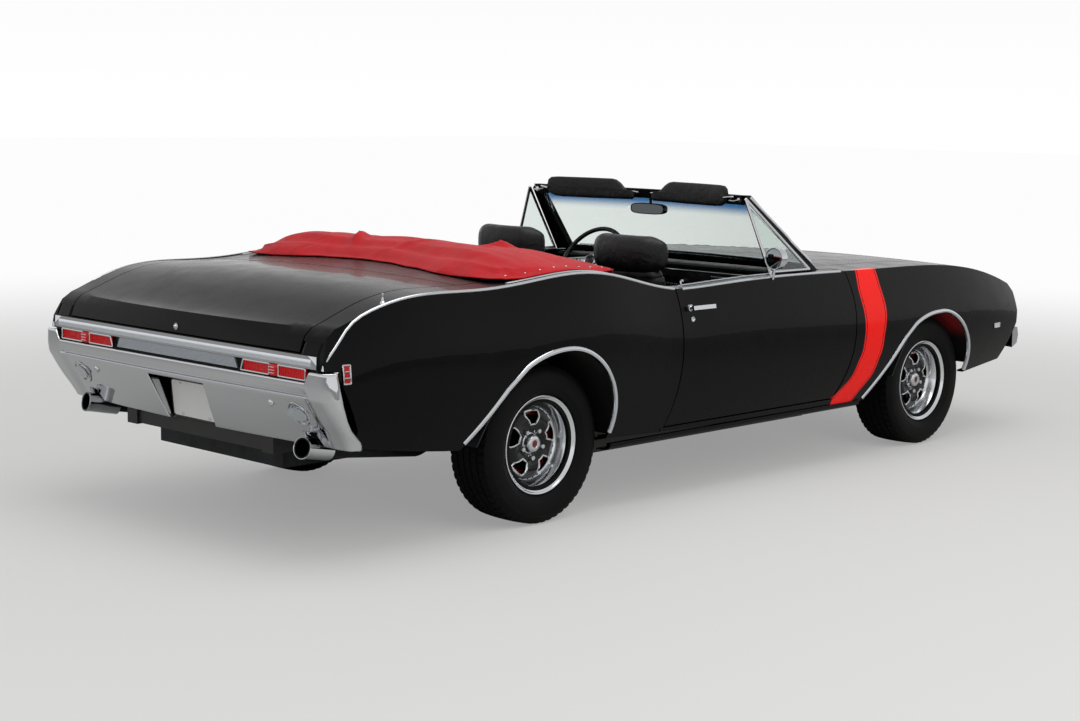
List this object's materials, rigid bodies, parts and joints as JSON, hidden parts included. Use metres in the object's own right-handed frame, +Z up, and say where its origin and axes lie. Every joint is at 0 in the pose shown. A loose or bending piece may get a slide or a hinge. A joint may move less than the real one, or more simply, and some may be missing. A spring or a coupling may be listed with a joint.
{
  "type": "two-door convertible muscle car",
  "caption": "Late-1960s two-door convertible muscle car, black with red fender stripes, roof folded under a red cover; wheels roll and steer, doors, hood and trunk lid open.",
  "frame": {"origin": "on the ground under the middle of the car's overall box", "axes": "+Z up, nose towards -Y, +X to the car's left side"},
  "size_m": [1.9352, 5.1203, 1.3575],
  "materials": {
    "black_paint": "gloss black enamel, clear and deep",
    "red_liner": "red enamel on the wheel liners",
    "chassis_black": "satin black chassis paint",
    "chrome": "bright chrome plating",
    "ribbed_silver": "ribbed satin silver",
    "grille_black": "dark grille bars",
    "lamp_red": "red moulded lens",
    "lamp_clear": "clear pressed lens",
    "tinted_glass": "laminated glass, faint green tint",
    "cast_iron_engine": "engine and gearbox castings",
    "pipe_steel": "dull steel pipe with bright tips",
    "tank_steel": "plated pressed steel",
    "axle_iron": "painted castings and drums",
    "knuckle_iron": "forged knuckle with brake disc",
    "vinyl_black": "black grained vinyl",
    "vinyl_red": "red coated fabric cover",
    "trim_black": "black padded and painted cabin trim",
    "carpet_black": "black carpet over steel floor",
    "wheel_steel": "black centre with bright rim",
    "tyre_rubber": "black tyre rubber",
    "plate_white": "blank white plate"
  },
  "bodies": {
    "body": {"backup_lamps": "lamp_clear", "blank_plate": "plate_white", "bulkhead": "trim_black", "bumper_front": "chrome", "bumper_rear": "chrome", "dashboard": "trim_black", "deck_panel": "black_paint", "engine": "cast_iron_engine", "exhaust": "pipe_steel", "fender_left": "black_paint", "fender_right": "black_paint", "floor_pan": "carpet_black", "frame_rails": "chassis_black", "front_arms": "chassis_black", "front_seats": "vinyl_black", "fuel_tank": "tank_steel", "grille": "grille_black", "headlamp_bezels": "chrome", "headlamps": "lamp_clear", "inner_fenders": "red_liner", "inner_mirror": "chrome", "nose_panel": "black_paint", "quarter_left": "black_paint", "quarter_right": "black_paint", "rear_axle": "axle_iron", "rear_floor": "chassis_black", "rear_seat": "vinyl_black", "side_markers": "lamp_red", "tail_lamps": "lamp_red", "tail_panel": "ribbed_silver", "tail_trim": "chrome", "top_cover": "vinyl_red", "visors": "trim_black", "windscreen": "tinted_glass", "windscreen_frame": "chrome"},
    "door_left": {"door_handle_left": "chrome", "door_left": "black_paint", "vent_frame_left": "chrome", "vent_glass_left": "tinted_glass"},
    "door_right": {"door_handle_right": "chrome", "door_right": "black_paint", "vent_frame_right": "chrome", "vent_glass_right": "tinted_glass"},
    "hood": {"hood": "black_paint"},
    "knuckle_left": {"knuckle_left": "knuckle_iron"},
    "knuckle_right": {"knuckle_right": "knuckle_iron"},
    "wheel_front_left": {"rim_front_left": "wheel_steel", "tyre_front_left": "tyre_rubber"},
    "wheel_front_right": {"rim_front_right": "wheel_steel", "tyre_front_right": "tyre_rubber"},
    "wheel_rear_left": {"rim_rear_left": "wheel_steel", "tyre_rear_left": "tyre_rubber"},
    "wheel_rear_right": {"rim_rear_right": "wheel_steel", "tyre_rear_right": "tyre_rubber"},
    "steering_wheel": {"steering_wheel": "trim_black"},
    "trunk_lid": {"trunk_lid": "black_paint"}
  },
  "joints": [
    {"name": "steer_left", "type": "hinge", "parent": "body", "child": "knuckle_left", "pos_m": [0.715, -1.515, 0.332], "axis": [0, 0, 1], "range_deg": [-34, 34]},
    {"name": "steer_right", "type": "hinge", "parent": "body", "child": "knuckle_right", "pos_m": [-0.715, -1.515, 0.332], "axis": [0, 0, 1], "range_deg": [-34, 34]},
    {"name": "steering_wheel_turn", "type": "hinge", "parent": "body", "child": "steering_wheel", "pos_m": [0.37, -0.291, 0.921], "axis": [0, 0.866, 0.5], "range_deg": [-680, 680]},
    {"name": "wheel_front_left_spin", "type": "hinge", "parent": "knuckle_left", "child": "wheel_front_left", "pos_m": [0.7495, -1.515, 0.332], "axis": [1, 0, 0], "continuous": true},
    {"name": "wheel_rear_left_spin", "type": "hinge", "parent": "body", "child": "wheel_rear_left", "pos_m": [0.7495, 1.33, 0.332], "axis": [1, 0, 0], "continuous": true},
    {"name": "door_left_swing", "type": "hinge", "parent": "body", "child": "door_left", "pos_m": [0.942, -0.712, 0.65], "axis": [0, 0, -1], "range_deg": [0, 65]},
    {"name": "wheel_front_right_spin", "type": "hinge", "parent": "knuckle_right", "child": "wheel_front_right", "pos_m": [-0.7495, -1.515, 0.332], "axis": [1, 0, 0], "continuous": true},
    {"name": "wheel_rear_right_spin", "type": "hinge", "parent": "body", "child": "wheel_rear_right", "pos_m": [-0.7495, 1.33, 0.332], "axis": [1, 0, 0], "continuous": true},
    {"name": "door_right_swing", "type": "hinge", "parent": "body", "child": "door_right", "pos_m": [-0.942, -0.712, 0.65], "axis": [0, 0, 1], "range_deg": [0, 65]},
    {"name": "hood_lift", "type": "hinge", "parent": "body", "child": "hood", "pos_m": [0, -0.852, 0.972], "axis": [-1, 0, 0], "range_deg": [0, 50]},
    {"name": "trunk_lid_lift", "type": "hinge", "parent": "body", "child": "trunk_lid", "pos_m": [0, 1.745, 1.045], "axis": [1, 0, 0], "range_deg": [0, 65]}
  ],
  "couplings": [
    {"joint": "steer_right", "follows": "steer_left", "ratio": 1},
    {"joint": "steering_wheel_turn", "follows": "steer_left", "ratio": 20}
  ]
}
